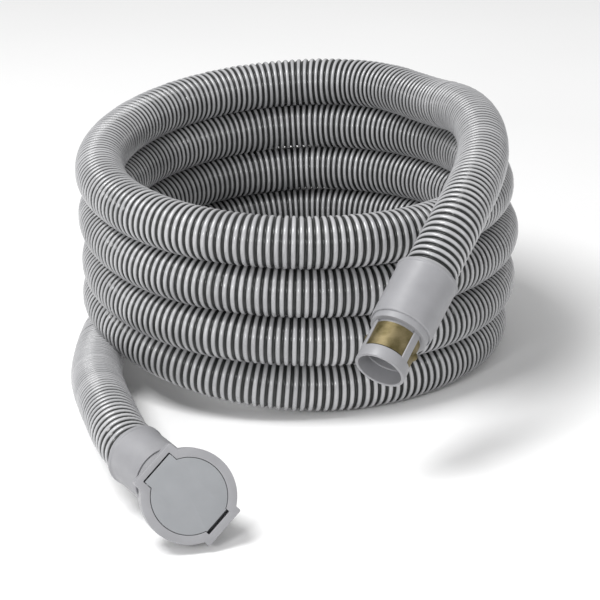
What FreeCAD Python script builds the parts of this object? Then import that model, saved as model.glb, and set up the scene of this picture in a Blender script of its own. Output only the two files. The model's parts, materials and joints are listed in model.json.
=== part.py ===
import FreeCAD, Part
import os
from math import atan, cos, degrees, pi, radians, sin, tan
from FreeCAD import Placement, Rotation, Vector

# Vacuum extension hose: a ribbed hose wound into a standing coil of four turns. One end
# carries a swivelling plug cuff with a metal contact band, the other a swept inlet valve
# with a sprung flap door. Millimetres, +Z up, the coil and the valve stand on z = 0 and the
# origin is under the middle of the whole assembly.

doc = FreeCAD.newDocument("vacuum_hose")
sheet = doc.addObject("Spreadsheet::Sheet", "Sizes")

SIZES = {
    # hose and coil
    "hose_radius": 20.0,
    "coil_x": 4.0, "coil_y": 95.0,            # where the routes are measured from
    "coil_width": 156.0, "coil_depth": 175.0,  # centre line radii, across and front to back
    "coil_shift": 6.0,                         # the oval's middle lies this far behind
    "coil_top": 171.0, "coil_slope": 15.0,
    # plug cuff: lengths along its axis from the hose end of the sleeve
    "plug_azimuth": -123.4, "plug_fall": 33.0,
    "sleeve_radius": 23.3, "sleeve_length": 47.5, "rim_radius": 23.9, "rim_length": 2.2,
    "lip_bore": 20.5, "lip_length": 3.0, "sleeve_bore": 21.1, "race_bore": 21.9,
    "race_start": 23.7, "hose_entry": 6.0, "plug_lead": 30.0,
    "cuff_radius": 20.8, "cuff_bore": 15.9, "flange_radius": 21.6,
    "flange_start": 24.0, "flange_end": 30.0,
    "washer_start": 30.3, "washer_end": 31.8,
    "shoulder_radius": 21.5, "shoulder_end": 52.5,
    "neck_radius": 17.2, "neck_end": 75.5,
    "ring_radius": 18.9, "plug_length": 85.0, "mouth_bore": 16.5, "mouth_depth": 12.0,
    "band_radius": 17.95, "band_start": 54.6, "band_end": 74.6, "band_gap": 12.0,
    "rib_width": 6.4, "rib_angle": 15.0, "rib_count": 3,
    "bulge_radius": 3.0, "bulge_proud": 2.4, "bulge_turn": 142.0,
    "seal_radius": 19.0, "seal_wire": 0.9, "seal_place": 33.4,
    # valve: heights along the door's normal, zero at the face, negative behind it
    "valve_x": -84.0, "valve_y": -378.0, "valve_rise": 38.4,
    "valve_azimuth": -80.7, "valve_tilt": 21.1, "valve_spin": 42.0, "sweep": 53.0,
    "bezel_radius": 33.0, "bezel_depth": 8.0, "skirt_depth": 18.0, "hinge_edge": 30.15, "plate_end": 29.1,
    "top_tab_edge": 34.0, "top_tab_width": 37.0, "low_tab_edge": 33.0, "low_tab_width": 32.5,
    "door_radius": 26.25, "door_thick": 2.4, "door_gap": 0.4,
    "door_land": 0.5, "door_taper": 1.4,
    "hinge_tab_width": 25.6, "pull_tab_width": 20.0, "pull_tab_edge": 25.1,
    "slot_edge": 27.6, "pin_place": 26.5, "pin_depth": 2.4, "knuckle_radius": 2.3,
    "pin_radius": 1.0, "pin_bore": 1.05, "pin_length": 32.0,
    "spring_pocket": 1.9, "spring_length": 10.0, "spring_wire": 0.25, "spring_coil": 1.4,
    "seat_radius": 22.6, "seat_top": 3.7, "gasket_thick": 1.2,
    "mount_radius": 30.0, "flange_thick": 3.0, "pad_thick": 1.0,
    "pad_inner": 23.2, "pad_outer": 24.6,
    "tube_radius": 22.2, "elbow_bore": 22.3, "drum_radius": 24.6, "drum_back": 42.0,
    "chamber_bore": 17.0, "chamber_floor": 39.0,
    "socket_bore": 19.15, "socket_end": 34.0,
    "cross_depth": 25.0, "branch_radius": 20.6, "branch_bore": 16.0, "branch_length": 40.0,
    "collar_radius": 22.0, "collar_bore": 20.7, "collar_start": 30.0, "collar_end": 66.0,
    "collar_rim": 22.9,
    "socket_seal_place": 15.0, "socket_seal_wire": 0.9, "socket_seal_radius": 20.1,
    "screw_circle": 27.4, "screw_radius": 1.2, "screw_head": 2.2, "screw_head_thick": 1.4,
    "leaf_width": 4.0, "leaf_thick": 0.4, "leaf_length": 12.0,
    "leaf_start": 19.0,
}
for row, (alias, value) in enumerate(SIZES.items(), start=1):
    sheet.set("A%d" % row, alias)
    sheet.set("B%d" % row, str(value))
    sheet.setAlias("B%d" % row, alias)
doc.recompute()


def size(alias):
    return float(sheet.get(alias))


# ---------------------------------------------------------------- helpers
def bound(kind, **sizes):
    """A Part primitive whose sizes are bound to spreadsheet expressions."""
    item = doc.addObject(kind, "shape")
    for name, value in sizes.items():
        item.setExpression(name, str(value).replace("$", "Sizes."))
    return item


def disc(radius, low, high):
    """Cylinder about the local Z axis between two heights."""
    item = bound("Part::Cylinder", Radius=radius, Height="(%s) - (%s)" % (high, low))
    item.setExpression("Placement.Base.z", low.replace("$", "Sizes."))
    return item


def block(x, y, z, length, width, height):
    """Box from its lowest corner, every size an expression."""
    item = bound("Part::Box", Length=length, Width=width, Height=height)
    for axis, value in zip("xyz", (x, y, z)):
        item.setExpression("Placement.Base." + axis, str(value).replace("$", "Sizes."))
    return item


def across(item, x, y, z):
    """Turn a cylinder from Z to lie along +Y, starting at the given point."""
    item.Placement = Placement(Vector(0, 0, 0), Rotation(Vector(1, 0, 0), -90))
    for axis, value in zip("xyz", (x, y, z)):
        item.setExpression("Placement.Base." + axis, str(value).replace("$", "Sizes."))
    return item


def fuse(*items):
    joined = doc.addObject("Part::MultiFuse", "joined")
    joined.Shapes = list(items)
    return joined


def cut(base, *tools):
    result = doc.addObject("Part::Cut", "cut")
    result.Base = base
    result.Tool = tools[0] if len(tools) == 1 else fuse(*tools)
    return result


SUB_PARTS = []


def finish_part(item, label, place=Placement()):
    item.Label = label
    item.Placement = place
    SUB_PARTS.append(item)
    return item


def solid_part(shape, label, place=Placement()):
    item = doc.addObject("Part::Feature", label)
    item.Shape = shape
    return finish_part(item, label, place)


def frame_from(normal, toward):
    """Rotation whose local Z is normal and whose local X is as near toward as it can be."""
    side = normal.cross(toward)
    return Rotation(toward, side, normal, "ZXY")


# ---------------------------------------------------------------- the two ends' places
def heading(azimuth, rise):
    return Vector(cos(radians(azimuth)) * cos(radians(rise)),
                  sin(radians(azimuth)) * cos(radians(rise)), sin(radians(rise)))


def from_coil(x, y, z):
    return Vector(size("coil_x") + x, size("coil_y") + y, z)


# Route of the hose from the coil to the plug, and from under the coil to the valve.
PLUG_ROUTE = [(118, 91, 174), (137, 42, 182), (146, -9, 184), (147, -60, 181), (141, -107, 177),
              (130, -149, 172), (118, -184, 164)]
VALVE_ROUTE = [(-160, 9, 20), (-164, -37, 20), (-164, -82, 24), (-162, -123, 30),
               (-158, -160, 36), (-153, -194, 41), (-147.5, -224, 44), (-142, -250, 44.5),
               (-135.5, -274.5, 42.5)]

plug_axis = heading(size("plug_azimuth"), -size("plug_fall"))
plug_rim = from_coil(90.5, -231, 134.5)
plug_place = Placement(plug_rim, frame_from(plug_axis, Vector(0, 0, 1).cross(plug_axis).normalize()))

valve_normal = heading(size("valve_azimuth"), size("valve_tilt"))
uphill = heading(size("valve_azimuth"), size("valve_tilt") + 90)
leftward = valve_normal.cross(uphill)
spin = radians(size("valve_spin"))
hinge_side = uphill * cos(spin) + leftward * sin(spin)
valve_face = from_coil(size("valve_x"), size("valve_y"), size("valve_rise"))
valve_place = Placement(valve_face, frame_from(valve_normal, hinge_side))
sweep = radians(size("sweep"))
branch_axis = hinge_side * cos(sweep) - valve_normal * sin(sweep)
branch_start = valve_face - valve_normal * size("cross_depth")
valve_rim = branch_start + branch_axis * size("collar_end")
print("plug rim", plug_rim, "axis", plug_axis)
print("valve face", valve_face, "normal", valve_normal, "hinge side", hinge_side)
print("valve rim", valve_rim, "branch axis", branch_axis)


# ---------------------------------------------------------------- the hose
def hose_path(points):
    """Straight runs joined by tangent arcs, each arc as large as its two runs allow."""
    edges = []
    here = points[0]
    for before, corner, after in zip(points, points[1:], points[2:]):
        to_start, to_end = (before - corner), (after - corner)
        room = 0.45 * min(to_start.Length, to_end.Length)
        half_turn = (pi - to_start.getAngle(to_end)) / 2
        print("arc radius", round(room / tan(half_turn)))
        start = corner + to_start.normalize() * room
        end = corner + to_end.normalize() * room
        inward = (to_start + to_end).normalize()
        middle = corner + inward * (room / tan(half_turn)) * (1 / cos(half_turn) - 1)
        edges += [Part.LineSegment(here, start).toShape(), Part.Arc(start, middle, end).toShape()]
        here = end
    edges.append(Part.LineSegment(here, points[-1]).toShape())
    return Part.Wire(edges)


def hose_tube(label, points):
    """Plain round tube along the path, checked against its section times its length."""
    path = hose_path(points)
    ring = Part.Circle(points[0], points[1] - points[0], size("hose_radius"))
    tube = path.makePipeShell([Part.Wire(ring.toShape())], True, False)
    expected = pi * size("hose_radius") ** 2 * path.Length
    print(label, "length", round(path.Length), "volume ratio", round(tube.Volume / expected, 4))
    solid_part(tube, label)


hose_tube("hose_plug_tail",
          [from_coil(*point) for point in PLUG_ROUTE]
          + [plug_rim - plug_axis * size("plug_lead"), plug_rim + plug_axis * size("hose_entry")])
hose_tube("hose_valve_tail",
          [from_coil(*point) for point in VALVE_ROUTE]
          + [valve_rim + branch_axis * size("hose_entry"),
             valve_rim - branch_axis * size("hose_entry")])


def coil_outline(offset):
    """Closed oval about the middle of the coil, offset from the hose's centre line."""
    deep, wide = size("coil_depth") + offset, size("coil_width") + offset
    middle = from_coil(0, size("coil_shift"), 0)
    oval = Part.Ellipse(middle + Vector(0, deep, 0), middle + Vector(wide, 0, 0), middle)
    return Part.Face(Part.Wire(oval.toShape()))


def coil_shape():
    """Oval ring standing flat, its top sloping down to the front and to the right."""
    tall = size("coil_top") + size("coil_slope") * 2
    ring = coil_outline(size("hose_radius")).cut(coil_outline(-size("hose_radius")))
    ring = ring.extrude(Vector(0, 0, tall))
    wide = size("coil_width") * 3
    slope_x = degrees(atan(size("coil_slope") / size("coil_width")))
    slope_y = degrees(atan(size("coil_slope") / size("coil_depth")))
    tip = Placement(from_coil(0, size("coil_shift"), size("coil_top")),
                    Rotation(Vector(1, 0, 0), slope_y).multiply(Rotation(Vector(0, 1, 0), slope_x)))
    lid = Part.makeBox(wide, wide, tall)
    lid.Placement = tip.multiply(Placement(Vector(-wide / 2, -wide / 2, 0), Rotation()))
    return ring.cut(lid)


solid_part(coil_shape(), "hose_coil")

# ---------------------------------------------------------------- plug cuff
# Threaded cuff on the hose's end; its flange runs in the race inside the sleeve.
cuff = cut(fuse(disc("$cuff_radius", "$hose_entry", "$flange_end"),
                disc("$flange_radius", "$flange_start", "$flange_end")),
           disc("$cuff_bore", "$hose_entry", "$flange_end"))
finish_part(cuff, "hose_cuff", plug_place)

sleeve = cut(fuse(disc("$sleeve_radius", "0", "$sleeve_length"),
                  disc("$rim_radius", "0", "$rim_length")),
             disc("$lip_bore", "0", "$lip_length"),
             disc("$sleeve_bore", "$lip_length", "$race_start"),
             disc("$race_bore", "$race_start", "$sleeve_length"))
finish_part(sleeve, "plug_sleeve", plug_place)

washer = cut(disc("$flange_radius", "$washer_start", "$washer_end"),
             disc("$cuff_bore", "$washer_start", "$washer_end"))
finish_part(washer, "thrust_washer", plug_place)


def turned(item, angle):
    """The same shape turned about the local Z axis."""
    holder = doc.addObject("Part::Compound", "turned")
    holder.Links = [item]
    holder.Placement = Placement(Vector(0, 0, 0), Rotation(Vector(0, 0, 1), angle))
    return holder


def radial_stud(radius, inner, outer, height, angle):
    """Cylinder that points outward from the axis at one angle."""
    stud = bound("Part::Cylinder", Radius=radius, Height="(%s) - (%s)" % (outer, inner))
    stud.Placement = Placement(Vector(0, 0, 0), Rotation(Vector(0, 1, 0), 90))
    stud.setExpression("Placement.Base.x", inner.replace("$", "Sizes."))
    stud.setExpression("Placement.Base.z", height.replace("$", "Sizes."))
    return turned(stud, angle)


def neck_rib(angle):
    """Bridge over the contact band, from the shoulder to the end ring."""
    rib = block("$band_radius + 0.1", "-$rib_width / 2", "$shoulder_end - 1",
                "$ring_radius - $band_radius - 0.3", "$rib_width",
                "$neck_end - $shoulder_end + 2")
    return turned(rib, angle)


neck = cut(fuse(disc("$race_bore - 0.02", "$washer_end + 0.1", "$sleeve_length"),
                disc("$shoulder_radius", "$sleeve_length", "$shoulder_end"),
                disc("$neck_radius", "$shoulder_end", "$neck_end"),
                disc("$ring_radius", "$neck_end", "$plug_length"),
                *[neck_rib(size("rib_angle") + number * 360 / size("rib_count"))
                  for number in range(int(size("rib_count")))]),
           disc("$cuff_bore", "$washer_end", "$plug_length"),
           disc("$mouth_bore", "$plug_length - $mouth_depth", "$plug_length"),
           disc("$seal_radius + $seal_wire", "$washer_end", "$seal_place + $seal_wire"))
finish_part(neck, "plug_neck", plug_place)


def rubber_ring(label, radius, wire, height, place):
    ring = bound("Part::Torus", Radius1=radius, Radius2=wire)
    ring.setExpression("Placement.Base.z", height.replace("$", "Sizes."))
    holder = doc.addObject("Part::Compound", "ring")
    holder.Links = [ring]
    finish_part(holder, label, place)


rubber_ring("plug_seal", "$seal_radius - 0.05", "$seal_wire - 0.02", "$seal_place - 0.05",
            plug_place)

band_middle = "($band_start + $band_end) / 2"
domes = [radial_stud("$bulge_radius", "$neck_radius + 0.1", "$band_radius + $bulge_proud",
                     band_middle, size("rib_angle") + size("bulge_turn") + side)
         for side in (0, 180)]
band = cut(fuse(disc("$band_radius", "$band_start", "$band_end"), *domes),
           disc("$neck_radius + 0.05", "$band_start", "$band_end"),
           turned(block("0", "-$band_gap / 2", "$band_start", "2 * $band_radius", "$band_gap",
                        "$band_end - $band_start"), size("rib_angle") - 120))
finish_part(band, "contact_band", plug_place)

# ---------------------------------------------------------------- inlet valve
FACE = "-$bezel_depth"


def opening(gap, low, high, hinge_edge, pull_edge):
    """Door outline: a disc with a tab toward the hinge and a narrower one opposite."""
    return fuse(disc("$door_radius + " + gap, low, high),
                block("0", "-$hinge_tab_width / 2 - " + gap, low, hinge_edge,
                      "$hinge_tab_width + 2 * " + gap, "(%s) - (%s)" % (high, low)),
                block("-" + pull_edge, "-$pull_tab_width / 2 - " + gap, low, pull_edge,
                      "$pull_tab_width + 2 * " + gap, "(%s) - (%s)" % (high, low)))


def hinge_bar(radius, length):
    """Cylinder about the hinge axis, centred on the valve's middle plane."""
    return across(bound("Part::Cylinder", Radius=radius, Height=length),
                  "$pin_place", "-(%s) / 2" % length, "-$pin_depth")


SKIRT = "-$skirt_depth"
plate = fuse(disc("$bezel_radius", SKIRT, "0"),
             block("0", "-$top_tab_width / 2", SKIRT, "$top_tab_edge", "$top_tab_width",
                   "$skirt_depth"),
             block("-$low_tab_edge", "-$low_tab_width / 2", FACE, "$low_tab_edge",
                   "$low_tab_width", "$bezel_depth"))
bezel = cut(plate, opening("$door_gap", FACE, "0", "$hinge_edge", "$slot_edge"),
            disc("$mount_radius + $door_gap", SKIRT, FACE),
            hinge_bar("$pin_radius", "$pin_length"))
finish_part(bezel, "valve_bezel", valve_place)

# The door's rim tapers below a thin land, so that it swings clear of the bezel.
taper = bound("Part::Cone", Radius1="$door_radius - $door_taper", Radius2="$door_radius",
              Height="$door_thick - $door_land")
taper.setExpression("Placement.Base.z", "-Sizes.door_thick")
door = cut(fuse(disc("$door_radius", "-$door_land", "0"), taper,
                block("0", "-$hinge_tab_width / 2", "-$door_thick", "$plate_end",
                      "$hinge_tab_width", "$door_thick"),
                hinge_bar("$knuckle_radius", "$hinge_tab_width")),
           hinge_bar("$pin_bore", "$pin_length"),
           hinge_bar("$spring_pocket", "$spring_length"),
           block("$pin_place - $spring_pocket", "-$spring_length / 2",
                 "-$pin_depth - $knuckle_radius - 0.5", "2 * $spring_pocket",
                 "$spring_length", "$knuckle_radius + 0.5"),
           block("-$bezel_radius", "-$pull_tab_width / 2", "-$door_thick",
                 "$bezel_radius - $pull_tab_edge", "$pull_tab_width", "$door_thick"))
finish_part(door, "valve_door", valve_place)

door_gasket = cut(disc("$seat_radius", "-$door_thick - $gasket_thick", "-$door_thick"),
                  disc("$socket_bore + 0.5", "-$door_thick - $gasket_thick", "-$door_thick"))
finish_part(door_gasket, "door_gasket", valve_place)

finish_part(turned(hinge_bar("$pin_radius", "$pin_length"), 0), "hinge_pin", valve_place)

coil_spring = cut(hinge_bar("$spring_coil + $spring_wire", "$spring_length - 1"),
                  hinge_bar("$spring_coil - $spring_wire", "$spring_length"))
finish_part(coil_spring, "door_spring", valve_place)

pad_top, pad_base = FACE, "-$bezel_depth - $pad_thick"
pad = cut(disc("$pad_outer", pad_base, pad_top), disc("$pad_inner", pad_base, pad_top))
finish_part(pad, "bezel_gasket", valve_place)


def branch(radius, start, end):
    """Cylinder about the swept branch of the elbow, by distances from where the axes cross."""
    rod = bound("Part::Cylinder", Radius=radius, Height="(%s) - (%s)" % (end, start))
    tilt = Rotation(Vector(0, 1, 0), 90 + size("sweep"))
    rod.Placement = Placement(Vector(0, 0, -size("cross_depth")), tilt)
    reach = start.replace("$", "Sizes.")
    rod.setExpression("Placement.Base.x", "(%s) * cos(Sizes.sweep * 1deg)" % reach)
    rod.setExpression("Placement.Base.z",
                      "-Sizes.cross_depth - (%s) * sin(Sizes.sweep * 1deg)" % reach)
    return rod


flange_base = "-$bezel_depth - $pad_thick - $flange_thick"
elbow_base = "-$bezel_depth - $pad_thick - 2 * $flange_thick"


def screws(radius, low, high):
    """Four cylinders on the flange's screw circle."""
    row = []
    for quarter in range(4):
        rod = disc(radius, low, high)
        rod.setExpression("Placement.Base.x", "Sizes.screw_circle")
        row.append(turned(rod, 45 + 90 * quarter))
    return row


socket = cut(fuse(disc("$mount_radius", flange_base, pad_base),
                  disc("$tube_radius", "-$socket_end", pad_base),
                  disc("$seat_radius", pad_base, "-$seat_top")),
             disc("$socket_bore", "-$socket_end", "-$seat_top"),
             disc("$socket_seal_radius + $socket_seal_wire",
                  "-$socket_seal_place - $socket_seal_wire",
                  "-$socket_seal_place + $socket_seal_wire"),
             branch("$branch_bore", "0", "$branch_length"),
             block("-$leaf_width / 2 - 0.2", "-$socket_bore - $leaf_thick - 0.3",
                   "-$leaf_start - $leaf_length - 0.3", "$leaf_width + 0.4",
                   "2 * ($socket_bore + $leaf_thick + 0.3)", "$leaf_length + 0.6"),
             *screws("$screw_radius", flange_base, pad_base),
             *screws("$screw_head", pad_base + " - $screw_head_thick", pad_base))
finish_part(socket, "valve_socket", valve_place)

elbow = cut(fuse(disc("$mount_radius", elbow_base, flange_base),
                 disc("$drum_radius", "-$drum_back", flange_base),
                 branch("$branch_radius", "0", "$branch_length")),
            disc("$elbow_bore", "-$socket_end", "0"),
            disc("$chamber_bore", "-$chamber_floor", flange_base),
            branch("$branch_bore", "0", "$branch_length + 1"),
            *screws("$screw_radius", elbow_base, flange_base))
finish_part(elbow, "valve_elbow", valve_place)

rubber_ring("socket_seal", "$socket_seal_radius", "$socket_seal_wire - 0.02",
            "-$socket_seal_place", valve_place)

flange_screws = fuse(*screws("$screw_radius - 0.02", elbow_base, pad_base + " - 0.5"),
                     *screws("$screw_head - 0.05", pad_base + " - $screw_head_thick + 0.02",
                             pad_base + " - 0.1"))
finish_part(flange_screws, "flange_screws", valve_place)


def leaf(side):
    """Low-voltage contact lying in its slot in the socket wall."""
    inner = "$socket_bore + 0.15" if side > 0 else "-$socket_bore - 0.15 - $leaf_thick"
    return block("-$leaf_width / 2", inner, "-$leaf_start - $leaf_length", "$leaf_width",
                 "$leaf_thick", "$leaf_length")


finish_part(fuse(leaf(1), leaf(-1)), "contact_leaves", valve_place)

collar = cut(fuse(branch("$collar_radius", "$collar_start", "$collar_end"),
                  branch("$collar_rim", "$collar_end - $rim_length", "$collar_end")),
             branch("$collar_bore", "$collar_start", "$collar_end"))
finish_part(collar, "valve_collar", valve_place)

cuff = cut(branch("$collar_bore - 0.02", "$branch_length + 0.2", "$collar_end - $hose_entry"),
           branch("$cuff_bore", "$branch_length", "$collar_end - $hose_entry"))
finish_part(cuff, "valve_cuff", valve_place)

# ---------------------------------------------------------------- check and write
doc.recompute()
for item in doc.Objects:
    if {"Invalid", "Error"} & set(item.State):
        raise RuntimeError("%s (%s) failed: %s" % (item.Name, item.Label, item.State))
os.makedirs("parts", exist_ok=True)
whole = FreeCAD.BoundBox()
for item in SUB_PARTS:
    shape = item.Shape
    if shape.isNull() or not shape.isValid() or not shape.Solids:
        raise RuntimeError("bad shape: " + item.Label)
    whole.add(shape.optimalBoundingBox())
    shape.exportStep("parts/%s.step" % item.Label)
    print("%-16s solids %d volume %9.0f" % (item.Label, len(shape.Solids), shape.Volume))
print("box", whole)
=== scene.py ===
import json
from math import asin, cos, pi, radians, sin
import bmesh
import bpy
import numpy as np
from mathutils import Matrix, Vector


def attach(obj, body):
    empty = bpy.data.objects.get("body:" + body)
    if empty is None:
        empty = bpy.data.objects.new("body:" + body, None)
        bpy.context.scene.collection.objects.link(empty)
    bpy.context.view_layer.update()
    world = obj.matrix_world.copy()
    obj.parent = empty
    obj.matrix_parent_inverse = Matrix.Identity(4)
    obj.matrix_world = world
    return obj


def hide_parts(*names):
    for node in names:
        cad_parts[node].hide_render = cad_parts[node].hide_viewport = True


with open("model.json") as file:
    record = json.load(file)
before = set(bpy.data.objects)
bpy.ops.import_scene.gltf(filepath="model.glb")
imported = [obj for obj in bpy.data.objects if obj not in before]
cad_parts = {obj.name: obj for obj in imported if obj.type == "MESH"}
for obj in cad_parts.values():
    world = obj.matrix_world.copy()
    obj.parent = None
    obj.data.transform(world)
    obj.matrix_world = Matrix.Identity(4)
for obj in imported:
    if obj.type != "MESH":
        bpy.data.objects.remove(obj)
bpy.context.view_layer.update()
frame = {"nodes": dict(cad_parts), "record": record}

# Vacuum extension hose in a standing coil: the ribbed hose, the swivelling plug cuff on its
# upper end and the swept inlet valve on its lower end. Metres, in the frame of the CAD model.
# Outlines of the small mouldings are written in millimetres and scaled by MM.
MM = 0.001
record = frame["record"]
joints = {joint["name"]: joint for joint in record["behaviour"]["joints"]}
mounts = {mount["name"]: mount for mount in record["mounts"]}
dice = np.random.default_rng(11)


# ---------------------------------------------------------------- places
def frame_matrix(origin, along, side):
    """Matrix with local Z along one direction and local X as near another as it can be."""
    z_axis = Vector(along).normalized()
    y_axis = z_axis.cross(Vector(side)).normalized()
    x_axis = y_axis.cross(z_axis)
    return Matrix.Translation(origin) @ Matrix((x_axis, y_axis, z_axis)).transposed().to_4x4()


COIL_CENTRE = Vector((0.004, 0.095, 0))
plug_axis = Vector(joints["plug_swivel"]["axis"])
plug_rim = Vector(joints["plug_swivel"]["pos_m"])
PLUG = frame_matrix(plug_rim, plug_axis, Vector((0, 0, 1)).cross(plug_axis))

SOCKET_MIDDLE = 18.85 * MM     # from the valve's face to the middle of its socket mount
CROSSING = 25 * MM             # from the face to where the socket and the branch meet
SWEEP = radians(53)            # between the socket's axis and the branch's
COLLAR_END = 66                # from the crossing to the collar's rim, in millimetres
normal = Vector(mounts["valve_socket"]["axis"])
hinge_axis = Vector(joints["door_hinge"]["axis"])
hinge_side = hinge_axis.cross(normal)
face_centre = Vector(mounts["valve_socket"]["pos_m"]) + normal * SOCKET_MIDDLE
VALVE = frame_matrix(face_centre, normal, hinge_side)
branch_axis = hinge_side * cos(SWEEP) - normal * sin(SWEEP)
BRANCH = frame_matrix(face_centre - normal * CROSSING, branch_axis, hinge_axis)
HINGE = frame_matrix(joints["door_hinge"]["pos_m"], hinge_axis, normal)
valve_rim = BRANCH @ Vector((0, 0, COLLAR_END * MM))

# ---------------------------------------------------------------- camera
CAMERA_RISE, CAMERA_ROLL = radians(19.93), radians(-3.02)
CAMERA_DISTANCE = 2.093
CAMERA_AIM = Vector((-0.0019, -0.0080, 0.04155))   # from COIL_CENTRE
LENS_MM, SENSOR_MM = 154.4, 36
camera_data = bpy.data.cameras.new("camera")
camera_data.lens, camera_data.sensor_width = LENS_MM, SENSOR_MM
camera = bpy.data.objects.new("camera", camera_data)
bpy.context.scene.collection.objects.link(camera)
back = Vector((0, -cos(CAMERA_RISE), sin(CAMERA_RISE)))
upward = Vector((0, sin(CAMERA_RISE), cos(CAMERA_RISE)))
right = Vector((1, 0, 0))
camera_x = right * cos(CAMERA_ROLL) + upward * sin(CAMERA_ROLL)
camera_y = upward * cos(CAMERA_ROLL) - right * sin(CAMERA_ROLL)
camera_target = COIL_CENTRE + CAMERA_AIM
camera.matrix_world = (Matrix.Translation(camera_target + back * CAMERA_DISTANCE)
                       @ Matrix((camera_x, camera_y, back)).transposed().to_4x4())
bpy.context.scene.camera = camera

# ---------------------------------------------------------------- route of the hose
HOSE_DIAMETER, HOSE_BORE = 0.040, 0.032
HOSE_ENTRY = 0.006             # how far the hose goes into each end's rim
PLUG_LEAD = 0.030              # straight stretch behind the plug's rim
RIB_PITCH = 0.0056
RIB_DEPTH = 0.0023             # from a rib's crest to the floor of the groove
RIB_SHARE = 0.74               # part of the pitch that is rib; the rest is groove
TURN_STEPS = 16                # points of the route in each turn of the coil
ROUTE_STEPS = 24               # points read between one control point and the next
LAYER = 0.0385                 # rise from one turn to the next

# From the plug to the coil, and from under the coil to the valve, relative to COIL_CENTRE.
PLUG_ROUTE = [(0.118, 0.091, 0.174), (0.137, 0.042, 0.182), (0.146, -0.009, 0.184),
              (0.147, -0.060, 0.181), (0.141, -0.107, 0.177), (0.130, -0.149, 0.172),
              (0.118, -0.184, 0.164)]
VALVE_ROUTE = [(-0.098, 0.104, 0.020), (-0.128, 0.076, 0.020), (-0.148, 0.043, 0.020),
               (-0.160, 0.009, 0.020), (-0.164, -0.037, 0.020), (-0.164, -0.082, 0.024),
               (-0.162, -0.123, 0.030), (-0.158, -0.160, 0.036), (-0.153, -0.194, 0.041),
               (-0.1475, -0.224, 0.044), (-0.142, -0.250, 0.0445), (-0.1355, -0.2745, 0.0425)]

# Reach of the coil's centre line from COIL_CENTRE at each half turn, from the top down:
# across at 0, 180, 360 degrees and so on, back and front by turns at 90, 270, 450 and so on.
ACROSS = [0.152, 0.156, 0.154, 0.156, 0.157, 0.156, 0.153, 0.158, 0.145, 0.150]
FRONT_BACK = [0.179, 0.167, 0.181, 0.165, 0.181, 0.163, 0.181, 0.150, 0.131, 0.131]
COIL_START, COIL_END = 60, 1553    # degrees
# Where each climb from one turn to the next is centred, and half its length, in degrees.
CLIMBS = [(220, 140), (580, 130), (940, 118), (1312, 60)]


def coil_point(angle):
    """Control point of the coil at an angle that counts up through the turns, in degrees."""
    across = np.interp(angle, range(0, 1801, 180), ACROSS + ACROSS[-1:])
    deep = np.interp(angle, range(90, 1801, 180), FRONT_BACK)
    height = HOSE_DIAMETER / 2
    for centre, half in CLIMBS:
        part = np.clip((centre + half - angle) / (2 * half), 0, 1)
        height += LAYER * (0.5 - 0.5 * cos(pi * part))
    turn = radians(angle)
    swell = 1 / cos(pi / TURN_STEPS)
    return COIL_CENTRE + Vector((across * cos(turn) * swell, deep * sin(turn) * swell, height))


def hose_route():
    """Control points of the whole hose, from the plug down to the valve."""
    points = [plug_rim + plug_axis * HOSE_ENTRY, plug_rim - plug_axis * PLUG_LEAD]
    points += [COIL_CENTRE + Vector(point) for point in reversed(PLUG_ROUTE)]
    steps = round((COIL_END - COIL_START) / 360 * TURN_STEPS)
    points += [coil_point(angle) for angle in np.linspace(COIL_START, COIL_END, steps + 1)]
    points += [COIL_CENTRE + Vector(point) for point in VALVE_ROUTE]
    points += [valve_rim + branch_axis * HOSE_ENTRY, valve_rim - branch_axis * HOSE_ENTRY]
    return points


def smooth_line(points):
    """Points read from a NURBS spline with these control points, in order along it."""
    curve = bpy.data.curves.new("route", "CURVE")
    curve.dimensions = "3D"
    curve.resolution_u = ROUTE_STEPS
    spline = curve.splines.new("NURBS")
    spline.points.add(len(points) - 1)
    for place, point in zip(spline.points, points):
        place.co = (*point, 1)
    spline.order_u = 3
    spline.use_endpoint_u = True
    holder = bpy.data.objects.new("route", curve)
    mesh = bpy.data.meshes.new_from_object(holder)
    line = np.array([vertex.co[:] for vertex in mesh.vertices])
    bpy.data.objects.remove(holder)
    bpy.data.curves.remove(curve)
    bpy.data.meshes.remove(mesh)
    return line


def evenly(line, count):
    """The same line as count points at equal distances along it."""
    lengths = np.linalg.norm(np.diff(line, axis=0), axis=1)
    along = np.concatenate([[0], np.cumsum(lengths)])
    places = np.linspace(0, along[-1], count)
    return np.stack([np.interp(places, along, line[:, axis]) for axis in range(3)], axis=1)


def carried_frames(line):
    """Side and up directions carried along the line without twist."""
    ahead = np.gradient(line, axis=0)
    ahead /= np.linalg.norm(ahead, axis=1)[:, None]
    side = np.zeros_like(line)
    side[0] = np.cross(ahead[0], (0, 0, 1))
    side[0] /= np.linalg.norm(side[0])
    for step in range(1, len(line)):
        carried = side[step - 1] - ahead[step] * np.dot(side[step - 1], ahead[step])
        side[step] = carried / np.linalg.norm(carried)
    return side, np.cross(ahead, side)


def link(name, mesh, body, material):
    """Object for a mesh, riding on a CAD body and finished in one material."""
    mesh.materials.append(material)
    piece = bpy.data.objects.new(name, mesh)
    bpy.context.scene.collection.objects.link(piece)
    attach(piece, body)
    return piece


# ---------------------------------------------------------------- shader helpers
def colour(hexcode):
    """Linear colour for an sRGB hex value."""
    parts = [int(hexcode[place:place + 2], 16) / 255 for place in (0, 2, 4)]
    return [part / 12.92 if part <= 0.04045 else ((part + 0.055) / 1.055) ** 2.4
            for part in parts] + [1.0]


def add(tree, kind, sockets, **settings):
    """One node with its settings; each socket takes a value or another node's output."""
    made = tree.nodes.new("ShaderNode" + kind)
    for name, value in settings.items():
        setattr(made, name, value)
    for socket, value in sockets.items():
        if isinstance(value, bpy.types.NodeSocket):
            tree.links.new(value, made.inputs[socket])
        else:
            made.inputs[socket].default_value = value
    return made


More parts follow.
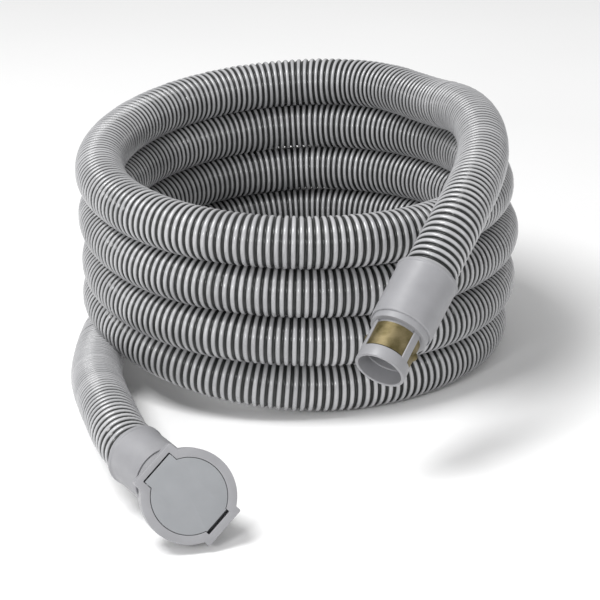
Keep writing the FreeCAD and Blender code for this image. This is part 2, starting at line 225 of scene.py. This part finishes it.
def start(name, **shader):
    """A material and its tree and main shader, with plain values on the shader's sockets."""
    material = bpy.data.materials.new(name)
    material.use_nodes = True
    tree = material.node_tree
    main = tree.nodes["Principled BSDF"]
    for socket, value in shader.items():
        main.inputs[socket.replace("_", " ")].default_value = value
    return material, tree, main


def per_metre(size_mm):
    """Scale of a pattern whose features are this many millimetres apart."""
    return 1 / (size_mm * MM)


def speckle(tree, size_mm, detail=2.0, stretch=(1, 1, 1)):
    """Noise in the piece's own space, with features of a real size."""
    place = add(tree, "TexCoord", {})
    spread = add(tree, "Mapping", {"Vector": place.outputs["Object"], "Scale": stretch})
    noise = add(tree, "TexNoise", {"Vector": spread.outputs[0], "Scale": per_metre(size_mm),
                                   "Detail": detail})
    return noise.outputs["Fac"]


def blend_colours(tree, amount, first, second):
    """Colour between two others. Inputs 6 and 7 and output 2 are the Mix node's colours."""
    mixer = add(tree, "Mix", {"Factor": amount, 6: first, 7: second}, data_type="RGBA")
    return mixer.outputs[2]


def between(tree, value, low, high, to_low=0.0, to_high=1.0):
    """Value taken from one range to another and held inside it."""
    made = add(tree, "MapRange", {"Value": value, "From Min": low, "From Max": high,
                                  "To Min": to_low, "To Max": to_high})
    return made.outputs[0]


def bumps(tree, main, height, strength, depth_mm):
    """Fine relief on the main shader from a pattern, with a depth in millimetres."""
    made = add(tree, "Bump", {"Height": height, "Strength": strength, "Distance": depth_mm * MM})
    tree.links.new(made.outputs[0], main.inputs["Normal"])


# ---------------------------------------------------------------- materials
GROOVE_SPAN = 0.12, 0.5        # share of the groove's depth where its painted shade starts and is full


def polyethylene_hose():
    """Extruded polyethylene with a silver pigment: glossy ribs, painted shade in the grooves."""
    material, tree, main = start("polyethylene_extruded_silver_grey", IOR=1.54,
                                 Coat_Weight=0.4, Coat_Roughness=0.16)
    groove = add(tree, "Attribute", {}, attribute_name="groove").outputs["Fac"]
    # Pigment drifts slowly along the extrusion, so neighbouring stretches differ a little.
    drift = between(tree, speckle(tree, size_mm=55, detail=3), 0.35, 0.65)
    pigment = blend_colours(tree, drift, colour("A2A2A4"), colour("B2B2B4"))
    # Each rib is rubbed a little brighter or duller than the next.
    rubbed = add(tree, "Attribute", {}, attribute_name="rubbed").outputs["Fac"]
    worn = blend_colours(tree, between(tree, rubbed, 0, 1, 0, 0.5), pigment, colour("8B8C8E"))
    # Painted shade: the grooves go near black, as the shade between the ribs would make them.
    shade = blend_colours(tree, between(tree, groove, *GROOVE_SPAN), worn, colour("050A08"))
    tree.links.new(shade, main.inputs["Base Color"])
    # Scuffs from dragging show as duller patches on a glossy skin.
    scuffs = between(tree, speckle(tree, size_mm=9, detail=5), 0.4, 0.75, 0.22, 0.38)
    # Roughness from the scuffs, plus the grooves made rougher so that they reflect less.
    scuffs_and_groove_roughness = add(tree, "Math", {0: scuffs, 1: between(tree, groove, *GROOVE_SPAN, 0, 0.45)},
                operation="ADD")
    tree.links.new(scuffs_and_groove_roughness.outputs[0], main.inputs["Roughness"])
    # Die lines are finer than shows, so they are drawn 0.8 mm apart.
    bumps(tree, main, speckle(tree, size_mm=0.8, detail=2), strength=0.10, depth_mm=0.04)
    return material


def satin_plastic(name, light, dark, grain_mm, rough):
    """Plastic with an even colour and a satin skin: moulded ABS, and turned acetal inside."""
    material, tree, main = start(name, IOR=1.53)
    cloud = between(tree, speckle(tree, size_mm=18, detail=3), 0.3, 0.7)
    shade = blend_colours(tree, cloud, colour(light), colour(dark))
    tree.links.new(shade, main.inputs["Base Color"])
    polish = between(tree, speckle(tree, size_mm=6, detail=4), 0.35, 0.7, rough - 0.06, rough + 0.08)
    tree.links.new(polish, main.inputs["Roughness"])
    # The grain left by the mould is finer than shows, so it is drawn at this coarser size.
    bumps(tree, main, speckle(tree, size_mm=grain_mm, detail=2), strength=0.16, depth_mm=0.06)
    return material


def rolled_brass():
    """Rolled brass strip: marks drawn out level, brown where the lacquer has aged."""
    material, tree, main = start("brass_rolled_aged", Metallic=1.0)
    aged = between(tree, speckle(tree, size_mm=9, detail=4), 0.35, 0.68)
    shade = blend_colours(tree, aged, colour("82775A"), colour("585033"))
    tree.links.new(shade, main.inputs["Base Color"])
    marks = speckle(tree, size_mm=1.2, detail=3, stretch=(0.2, 0.2, 4))
    tree.links.new(between(tree, marks, 0.3, 0.7, 0.52, 0.66), main.inputs["Roughness"])
    bumps(tree, main, marks, strength=0.15, depth_mm=0.03)
    return material


def drawn_steel():
    """Drawn stainless wire and screws: bright, with a fine mottle."""
    material, tree, main = start("stainless_drawn", Metallic=1.0)
    marks = speckle(tree, size_mm=0.6, detail=2)
    shade = blend_colours(tree, marks, colour("C9CACC"), colour("9C9DA0"))
    tree.links.new(shade, main.inputs["Base Color"])
    tree.links.new(between(tree, marks, 0.3, 0.7, 0.2, 0.38), main.inputs["Roughness"])
    return material


def moulded_rubber():
    """Moulded nitrile rubber: near black, matt, with a bloom of pale dust."""
    material, tree, main = start("nitrile_rubber_moulded", IOR=1.52)
    bloom = between(tree, speckle(tree, size_mm=3, detail=4), 0.5, 0.8)
    shade = blend_colours(tree, bloom, colour("1C1D1E"), colour("3A3B3C"))
    tree.links.new(shade, main.inputs["Base Color"])
    tree.links.new(between(tree, bloom, 0, 1, 0.6, 0.8), main.inputs["Roughness"])
    return material


HOSE_SKIN = polyethylene_hose()
CUFF_SKIN = satin_plastic("abs_moulded_light_grey", "8D8D90", "868689", 0.7, 0.46)
DOOR_SKIN = satin_plastic("abs_moulded_door_grey", "87898C", "828487", 0.5, 0.52)
ACETAL = satin_plastic("acetal_turned_white", "E4E3DE", "DBDAD4", 0.6, 0.3)
BRASS = rolled_brass()
STEEL = drawn_steel()
RUBBER = moulded_rubber()


# ---------------------------------------------------------------- hose
RIB_STEPS = 50                 # places along one rib pitch where a ring may stand
RING_POINTS = 36               # round each ring
BORE_STEP = 5                  # rib pitches between two rings of the plain bore
PATH_POINTS = 700              # along the centre line that ribbed_hose returns
RUBBED_USUAL, RUBBED_SPREAD = 0.35, 0.25
SWELLING = 0.00007             # how much one rib's radius differs from the next
# Where each rib is cut into rings: -1 is the groove before it and 0 is its crest.
ACROSS_RIB = np.array([-1.0, -0.93, -0.72, -0.38, 0.0, 0.38, 0.72, 0.93])


def rib_rings(ribs):
    """For each ring of the outside: its place, its depth, how rubbed and how swollen it is."""
    phases = 0.5 + ACROSS_RIB * RIB_SHARE / 2
    depths = 1 - np.sqrt(1 - ACROSS_RIB ** 2)
    rubbed = np.clip(dice.normal(RUBBED_USUAL, RUBBED_SPREAD, ribs), 0, 1)
    swelling = dice.normal(0, SWELLING, ribs)
    places = ((np.arange(ribs)[:, None] + phases) * RIB_STEPS).ravel()
    picked = np.round(np.append(places, ribs * RIB_STEPS)).astype(int)
    grooves = np.append(np.tile(depths, ribs), 1.0)
    worn = np.append(np.repeat(rubbed, len(phases)), rubbed[-1])
    bulge = np.append(np.repeat(swelling, len(phases)), 0)
    return picked, grooves, worn, bulge


def rings_at(centres, directions, picked, radius):
    """Points of a ring round each picked centre, across its side and up directions."""
    angles = np.arange(RING_POINTS) * 2 * pi / RING_POINTS
    side, above = directions
    spokes = (side[picked][:, None] * np.cos(angles)[None, :, None]
              + above[picked][:, None] * np.sin(angles)[None, :, None])
    return centres[picked][:, None] + spokes * np.reshape(radius, (-1, 1, 1))


def ribbed_hose():
    """One closed tube: outside in rounded ribs with narrow grooves, inside plain."""
    line = smooth_line(hose_route())
    length = np.linalg.norm(np.diff(line, axis=0), axis=1).sum()
    ribs = round(length / RIB_PITCH)
    centres = evenly(line, ribs * RIB_STEPS + 1)
    directions = carried_frames(centres)
    picked, grooves, worn, bulge = rib_rings(ribs)
    radius = HOSE_DIAMETER / 2 - RIB_DEPTH * grooves + bulge
    outside = rings_at(centres, directions, picked, radius)
    bore_picked = np.append(np.arange(0, ribs * RIB_STEPS, BORE_STEP * RIB_STEPS),
                            ribs * RIB_STEPS)
    inside = rings_at(centres, directions, bore_picked, HOSE_BORE / 2)
    # Outside first, then back through the bore, so that the rings make one closed loop.
    layers = np.concatenate([outside, inside[::-1]])
    first = np.arange(len(layers))[:, None] * RING_POINTS + np.arange(RING_POINTS)
    turned = np.roll(first, -1, axis=1)
    ahead, ahead_turned = np.roll(first, -1, axis=0), np.roll(turned, -1, axis=0)
    faces = np.stack([first, turned, ahead_turned, ahead], axis=2).reshape(-1, 4)
    mesh = bpy.data.meshes.new("ribbed_hose")
    mesh.from_pydata(layers.reshape(-1, 3).tolist(), [], faces.tolist())
    for name, values in (("groove", grooves), ("rubbed", worn)):
        values = np.append(values, np.full(len(inside), 0.5))
        layer = mesh.attributes.new(name, "FLOAT", "POINT")
        layer.data.foreach_set("value", np.repeat(values, RING_POINTS).astype(np.float32))
    mesh.shade_smooth()
    hose = link("ribbed_hose", mesh, "hose", HOSE_SKIN)
    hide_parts("hose_coil", "hose_plug_tail", "hose_valve_tail")
    path = evenly(line, PATH_POINTS)
    return hose, [tuple(map(float, point)) for point in path]


hose, hose_line = ribbed_hose()


# ---------------------------------------------------------------- moulding helpers
WELD, SLIVER = 1e-6, 1e-7      # metres: closer points are joined, and thinner faces go
DISC_STEPS = 40


def rounded(corners, radius, steps=4):
    """Closed outline with each corner turned by a small curve of about this radius."""
    outline = []
    for number, corner in enumerate(corners):
        here = Vector(corner)
        before, after = Vector(corners[number - 1]), Vector(corners[(number + 1) % len(corners)])
        room = min(radius, 0.45 * (before - here).length, 0.45 * (after - here).length)
        first = here + (before - here).normalized() * room
        last = here + (after - here).normalized() * room
        for step in range(steps + 1):
            part = step / steps
            outline.append(first * (1 - part) ** 2 + here * 2 * part * (1 - part)
                           + last * part ** 2)
    return outline


def finished(name, mesh, body, material, place, nodes, smooth_angle=40):
    """Cleaned mesh with outward faces, put in its place as a piece."""
    cleaner = bmesh.new()
    cleaner.from_mesh(mesh)
    bmesh.ops.remove_doubles(cleaner, verts=cleaner.verts, dist=WELD)
    bmesh.ops.dissolve_degenerate(cleaner, edges=cleaner.edges, dist=SLIVER)
    bmesh.ops.recalc_face_normals(cleaner, faces=cleaner.faces)
    cleaner.to_mesh(mesh)
    cleaner.free()
    mesh.transform(place)
    mesh.shade_smooth()
    mesh.set_sharp_from_angle(angle=radians(smooth_angle))
    piece = link(name, mesh, body, material)
    if nodes:
        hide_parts(*nodes)
    return piece


def lathe(outline, steps=96):
    """Mesh turned about local Z from a closed outline of (radius, height) in millimetres."""
    mesh = bpy.data.meshes.new("turned")
    rows = len(outline)
    points, faces = [], []
    for step in range(steps):
        angle = 2 * pi * step / steps
        points += [(radius * MM * cos(angle), radius * MM * sin(angle), height * MM)
                   for radius, height in outline]
    for step in range(steps):
        for row in range(rows):
            here, beside = step * rows, (step + 1) % steps * rows
            up = (row + 1) % rows
            faces.append((here + row, beside + row, beside + up, here + up))
    mesh.from_pydata(points, [], faces)
    return mesh


def plate(outlines, low, high, edge):
    """Flat moulding from closed outlines, holes among them, with all its edges rounded."""
    curve = bpy.data.curves.new("plate", "CURVE")
    curve.dimensions, curve.fill_mode = "2D", "BOTH"
    curve.extrude = ((high - low) / 2 - edge) * MM
    curve.bevel_depth, curve.bevel_resolution, curve.offset = edge * MM, 3, -edge * MM
    for outline in outlines:
        spline = curve.splines.new("POLY")
        spline.points.add(len(outline) - 1)
        for place, point in zip(spline.points, outline):
            place.co = (point[0] * MM, point[1] * MM, 0, 1)
        spline.use_cyclic_u = True
    holder = bpy.data.objects.new("plate", curve)
    mesh = bpy.data.meshes.new_from_object(holder)
    bpy.data.objects.remove(holder)
    bpy.data.curves.remove(curve)
    mesh.transform(Matrix.Translation((0, 0, (low + high) / 2 * MM)))
    return mesh


def tabbed_disc(radius, near_edge, near_width, far_edge, far_width, corner=0.8):
    """Outline of a disc with a tab toward +X and another toward -X, in millimetres."""
    near, far = asin(near_width / 2 / radius), asin(far_width / 2 / radius)
    upper = [(radius * cos(angle), radius * sin(angle))
             for angle in np.linspace(near, pi - far, DISC_STEPS)]
    half = [(near_edge, near_width / 2), *upper, (-far_edge, far_width / 2)]
    corners = half + [(x, -y) for x, y in reversed(half)]
    sharp = {0, len(half) - 1, len(half), len(corners) - 1}
    outline = []
    for number, corner_point in enumerate(corners):
        if number in sharp:
            trio = [corners[number - 1], corner_point, corners[(number + 1) % len(corners)]]
            # Of the three corners' points, only the middle one's are wanted.
            outline += rounded(trio, corner)[5:10]
        else:
            outline.append(Vector(corner_point))
    return outline


# ---------------------------------------------------------------- plug cuff
# Radii, and distances from the sleeve's rim towards the plug's mouth, in millimetres.
SLEEVE, RIM, SLEEVE_BORE = 23.3, 23.9, 21.95
SLEEVE_END, SHOULDER_END, NECK_END, PLUG_END = 47.5, 52.5, 75.5, 85.0
NECK, END_RING = 17.2, 18.9
NECK_RIB_ANGLE, NECK_RIB_COUNT = radians(15), 3
NECK_RIB_MIDDLE, NECK_RIB_THICK, NECK_RIB_WIDTH, NECK_RIB_EDGE = 17.9, 1.8, 6.4, 0.4
NECK_RIB_TUCK = 1.4            # how much longer a rib is than the gap that it bridges
BAND_RADIUS, BAND_LOW, BAND_HIGH, BAND_THICK = 17.6, 54.6, 74.6, 0.7
BAND_OPENING = radians(40)
BAND_COLUMNS, BAND_ROWS = 180, 24
DOME_ANGLES = NECK_RIB_ANGLE - radians(38), NECK_RIB_ANGLE + radians(142)
DOME_MIDDLE, DOME_REACH, DOME_LIFT = 64.6, 3.4, 2.3

sleeve_outline = rounded([(20.5, 0), (RIM, 0), (RIM, 2.2), (SLEEVE, 2.8), (SLEEVE - 0.15, 24),
                          (SLEEVE, 46.6), (SLEEVE - 0.6, SLEEVE_END), (SLEEVE_BORE, SLEEVE_END),
                          (SLEEVE_BORE, 23.7), (21.1, 23.7), (21.1, 3), (20.5, 3)], 0.5)
finished("plug_sleeve_skin", lathe(sleeve_outline), "plug", CUFF_SKIN,
         PLUG, ["plug_sleeve"])

neck_outline = rounded([(15.9, 31.9), (19.9, 31.9), (19.9, 34.3), (21.85, 34.3),
                        (21.85, SLEEVE_END - 0.1), (21.5, SLEEVE_END + 0.1),
                        (21.5, SHOULDER_END), (NECK, SHOULDER_END), (NECK, NECK_END),
                        (END_RING, NECK_END), (END_RING, PLUG_END), (16.5, PLUG_END), (16.5, 73),
                        (15.9, 72.4)], 0.6)
finished("plug_neck_skin", lathe(neck_outline), "plug", CUFF_SKIN,
         PLUG, ["plug_neck"])


def box_moulding(length, width, height, edge):
    """Block centred on its own origin with rounded edges, millimetres."""
    half = length / 2, width / 2
    corners = [(half[0], half[1]), (-half[0], half[1]), (-half[0], -half[1]), (half[0], -half[1])]
    return plate([rounded(corners, edge * 2)], -height / 2, height / 2, edge)


neck_middle = (SHOULDER_END + NECK_END) / 2
for number in range(NECK_RIB_COUNT):
    place = (PLUG @ Matrix.Rotation(NECK_RIB_ANGLE + 2 * pi * number / NECK_RIB_COUNT, 4, "Z")
             @ Matrix.Translation((NECK_RIB_MIDDLE * MM, 0, neck_middle * MM)))
    finished("plug_rib_%d" % (number + 1),
             box_moulding(NECK_RIB_THICK, NECK_RIB_WIDTH,
                          NECK_END - SHOULDER_END + NECK_RIB_TUCK, NECK_RIB_EDGE),
             "plug", CUFF_SKIN, place, [])


def contact_band():
    """Sprung strip round the neck, open at one side, with two domes pressed out of it."""
    # The opening is behind the third rib, a third of a turn before the first.
    first = NECK_RIB_ANGLE - radians(120) + BAND_OPENING / 2
    points, faces = [], []
    for column in range(BAND_COLUMNS + 1):
        angle = first + (2 * pi - BAND_OPENING) * column / BAND_COLUMNS
        for row in range(BAND_ROWS + 1):
            height = BAND_LOW + (BAND_HIGH - BAND_LOW) * row / BAND_ROWS
            lift = 0
            for dome in DOME_ANGLES:
                across = (angle - dome + pi) % (2 * pi) - pi
                away = (across * BAND_RADIUS) ** 2 + (height - DOME_MIDDLE) ** 2
                lift += DOME_LIFT * max(0.0, 1 - away / DOME_REACH ** 2)
            radius = (BAND_RADIUS + lift) * MM
            points.append((radius * cos(angle), radius * sin(angle), height * MM))
    for column in range(BAND_COLUMNS):
        for row in range(BAND_ROWS):
            here = column * (BAND_ROWS + 1) + row
            faces.append((here, here + BAND_ROWS + 1, here + BAND_ROWS + 2, here + 1))
    mesh = bpy.data.meshes.new("contact_band")
    mesh.from_pydata(points, [], faces)
    holder = bpy.data.objects.new("band", mesh)
    bpy.context.scene.collection.objects.link(holder)
    thicken = holder.modifiers.new("thick", "SOLIDIFY")
    thicken.thickness, thicken.offset = BAND_THICK * MM, 0
    depsgraph = bpy.context.evaluated_depsgraph_get()
    thick = bpy.data.meshes.new_from_object(holder.evaluated_get(depsgraph))
    bpy.data.objects.remove(holder)
    finished("contact_band_strip", thick, "plug", BRASS, PLUG,
             ["contact_band"], smooth_angle=50)


contact_band()

# ---------------------------------------------------------------- inlet valve
# Millimetres. A tab is how far out its end stands and how wide it is.
DOOR_GAP = 0.4
DOOR_RADIUS, DOOR_THICK, DOOR_LAND, DOOR_TAPER = 26.25, 2.4, 0.5, 1.4
DOOR_HINGE_TAB, DOOR_PULL_TAB = (29.1, 25.6), (25.1, 20)
BEZEL_RADIUS, BEZEL_DEPTH, BEZEL_CORNER = 33, 8, 1.6
BEZEL_HINGE_TAB, BEZEL_LOW_TAB = (34, 37), (33, 32.5)
OPENING_HINGE_TAB, OPENING_PULL_TAB = (30.15, 25.6 + 2 * DOOR_GAP), (27.6, 20 + 2 * DOOR_GAP)
SKIRT_DEPTH, SKIRT_BORE, SKIRT_OVERLAP = 18, 30.4, 1
SKIRT_LOW_TAB = BEZEL_RADIUS - 0.4, 8
BEZEL_EDGE, DOOR_EDGE = 0.35, 0.25
PIN_BORE, KNUCKLE_RADIUS, KNUCKLE_HALF = 1.1, 2.25, 12.7
SPRING_ROOM, SPRING_HALF = 1.88, 5.1
COLLAR_START, COLLAR_BORE, COLLAR_RADIUS, COLLAR_LIP = 30, 20.72, 22, 22.9


def bezel_moulding():
    """Face plate with the door's opening in it, and a deep skirt behind it round the elbow."""
    outer = tabbed_disc(BEZEL_RADIUS, *BEZEL_HINGE_TAB, *BEZEL_LOW_TAB, corner=BEZEL_CORNER)
    hole = tabbed_disc(DOOR_RADIUS + DOOR_GAP, *OPENING_HINGE_TAB, *OPENING_PULL_TAB)
    behind = tabbed_disc(BEZEL_RADIUS, *BEZEL_HINGE_TAB, *SKIRT_LOW_TAB, corner=BEZEL_CORNER)
    turns = np.linspace(0, 2 * pi, 96, endpoint=False)
    bore = [(SKIRT_BORE * cos(turn), SKIRT_BORE * sin(turn)) for turn in turns]
    face = plate([outer, hole], -BEZEL_DEPTH, 0, BEZEL_EDGE)
    skirt = plate([behind, bore], -SKIRT_DEPTH, -BEZEL_DEPTH + SKIRT_OVERLAP, BEZEL_EDGE)
    whole = bmesh.new()
    whole.from_mesh(face)
    whole.from_mesh(skirt)
    whole.to_mesh(face)
    whole.free()
    return face


valve_bezel = finished("valve_bezel_skin", bezel_moulding(), "hose", CUFF_SKIN,
                       VALVE, ["valve_bezel"])


def door_plate():
    """Flap whose rim leans in below a thin land, so that it swings clear of the bezel."""
    mesh = plate([tabbed_disc(DOOR_RADIUS, *DOOR_HINGE_TAB, *DOOR_PULL_TAB)],
                 -DOOR_THICK, 0, DOOR_EDGE)
    for vertex in mesh.vertices:
        below = max(0.0, -vertex.co.z / MM - DOOR_LAND) / (DOOR_THICK - DOOR_LAND)
        vertex.co.xy = vertex.co.xy * (1 - DOOR_TAPER / DOOR_RADIUS * below)
    return mesh


valve_door = finished("valve_door_skin", door_plate(), "door", DOOR_SKIN,
                      VALVE, ["valve_door"])
# The knuckle is bored for the hinge pin and wider inside where the spring sits.
knuckle_outline = rounded([(PIN_BORE, -KNUCKLE_HALF), (KNUCKLE_RADIUS, -KNUCKLE_HALF),
                           (KNUCKLE_RADIUS, KNUCKLE_HALF), (PIN_BORE, KNUCKLE_HALF),
                           (PIN_BORE, SPRING_HALF), (SPRING_ROOM, SPRING_HALF),
                           (SPRING_ROOM, -SPRING_HALF), (PIN_BORE, -SPRING_HALF)], 0.2)
door_knuckle = finished("door_knuckle", lathe(knuckle_outline, 48), "door", DOOR_SKIN,
                        HINGE, [])

collar_outline = rounded([(COLLAR_BORE, COLLAR_START), (COLLAR_RADIUS, COLLAR_START),
                          (COLLAR_RADIUS, 62.8), (COLLAR_LIP, 63.8),
                          (COLLAR_LIP, COLLAR_END), (COLLAR_BORE, COLLAR_END)], 0.5)
valve_collar = finished("valve_collar_skin", lathe(collar_outline), "hose", CUFF_SKIN,
                        BRANCH, ["valve_collar"])

# ---------------------------------------------------------------- CAD nodes that stay
KEPT_NODES = {
    "hose_cuff": CUFF_SKIN, "thrust_washer": ACETAL, "plug_seal": RUBBER,
    "door_gasket": RUBBER, "hinge_pin": STEEL, "door_spring": STEEL, "bezel_gasket": RUBBER,
    "valve_socket": CUFF_SKIN, "valve_elbow": CUFF_SKIN, "socket_seal": RUBBER,
    "flange_screws": STEEL, "contact_leaves": BRASS, "valve_cuff": CUFF_SKIN,
}
for node_name, skin in KEPT_NODES.items():
    node = frame["nodes"][node_name]
    for material_slot in node.material_slots:
        material_slot.material = skin

VALVE_NODES = ["bezel_gasket", "valve_socket", "valve_elbow", "socket_seal", "flange_screws",
               "contact_leaves", "valve_cuff", "hinge_pin", "door_spring", "door_gasket"]
valve_pieces = [frame["nodes"][name] for name in VALVE_NODES]
valve_pieces += [door_knuckle, valve_bezel, valve_collar, valve_door]


# ---------------------------------------------------------------- floor and light
FLOOR_REACH = 6                # from the middle to each side


def studio_floor():
    """Pale matt paper under the hose, far wider than the view."""
    material, tree, main = start("paper_sweep_pale", Roughness=0.9)
    tone = blend_colours(tree, speckle(tree, size_mm=400, detail=2), colour("F4F4F4"), colour("FAFAFA"))
    tree.links.new(tone, main.inputs["Base Color"])
    mesh = bpy.data.meshes.new("floor")
    corners = [(x * FLOOR_REACH, y * FLOOR_REACH, 0) for x, y in ((-1, -1), (1, -1), (1, 1), (-1, 1))]
    mesh.from_pydata(corners, [], [(0, 1, 2, 3)])
    mesh.materials.append(material)
    floor = bpy.data.objects.new("floor", mesh)
    bpy.context.scene.collection.objects.link(floor)


def soft_light(name, place, width, power, aim=(0, 0, 0.1)):
    """Square soft box at a place, turned towards the hose."""
    data = bpy.data.lights.new(name, "AREA")
    data.energy, data.size = power, width
    lamp = bpy.data.objects.new(name, data)
    lamp.location = place
    lamp.rotation_euler = (Vector(aim) - Vector(place)).to_track_quat("-Z", "Y").to_euler()
    bpy.context.scene.collection.objects.link(lamp)


studio_floor()
soft_light("overhead", (-0.95, -0.5, 2.35), width=1.17, power=56)
soft_light("front_left", (-0.9, -1.9, 0.9), width=0.4, power=17)
soft_light("front_right", (1.5, -1.3, 0.7), width=0.4, power=5)

world = bpy.data.worlds.new("studio")
world.use_nodes = True
sky = world.node_tree.nodes["Background"]
sky.inputs["Color"].default_value = colour("FFFFFF")
sky.inputs["Strength"].default_value = 0.5
bpy.context.scene.world = world
bpy.context.scene.view_settings.view_transform = "Standard"
